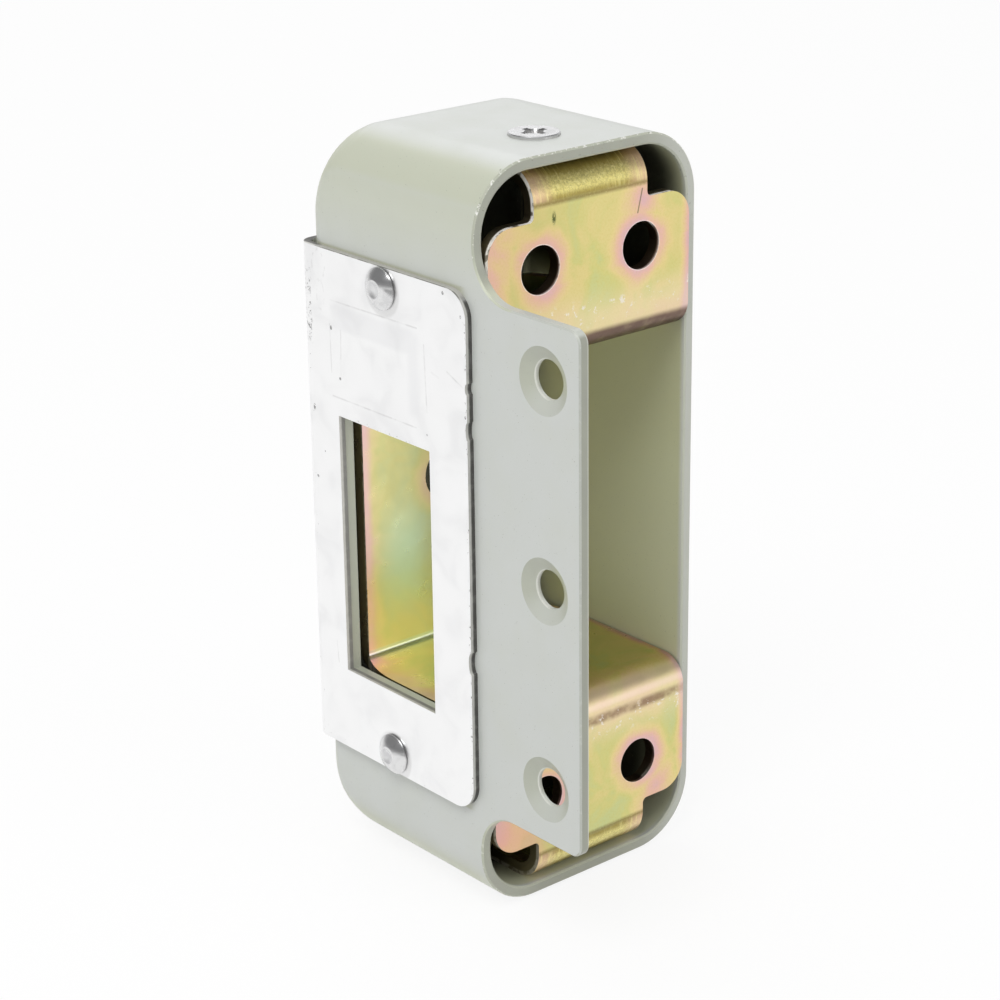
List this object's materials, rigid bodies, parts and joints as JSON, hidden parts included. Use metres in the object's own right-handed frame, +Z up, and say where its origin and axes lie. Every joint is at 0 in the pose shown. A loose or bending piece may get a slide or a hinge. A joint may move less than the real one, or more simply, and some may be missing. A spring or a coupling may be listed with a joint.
{
  "type": "surface-mounted door strike box",
  "caption": "Rounded sheet-metal strike box for a surface door lock, with a folded fixing bracket inside, a riveted strike plate and a countersunk edge flange.",
  "frame": {"origin": "middle of the four screw holes in the bracket's lugs, on the face of the lugs that lies against the door frame", "axes": "+X across the box from the bolt face (where the strike plate and the flange are) to the plain side, +Y from the door frame into the box, +Z up along its long side"},
  "size_m": [0.0441, 0.0599, 0.1128],
  "materials": {
    "painted_case": "light warm-grey semi-gloss paint, worn at the rim",
    "yellow_zinc": "yellow passivated zinc, gold-green with pink tints near edges and holes",
    "bright_plate": "bright plated sheet with sheared edges and small pits",
    "bright_fastener": "bright plated steel"
  },
  "bodies": {
    "root": {"case": "painted_case", "bracket": "yellow_zinc", "strike_plate": "bright_plate", "upper_rivet": "bright_fastener", "lower_rivet": "bright_fastener", "top_screw": "bright_fastener", "bottom_screw": "bright_fastener"}
  },
  "joints": []
}
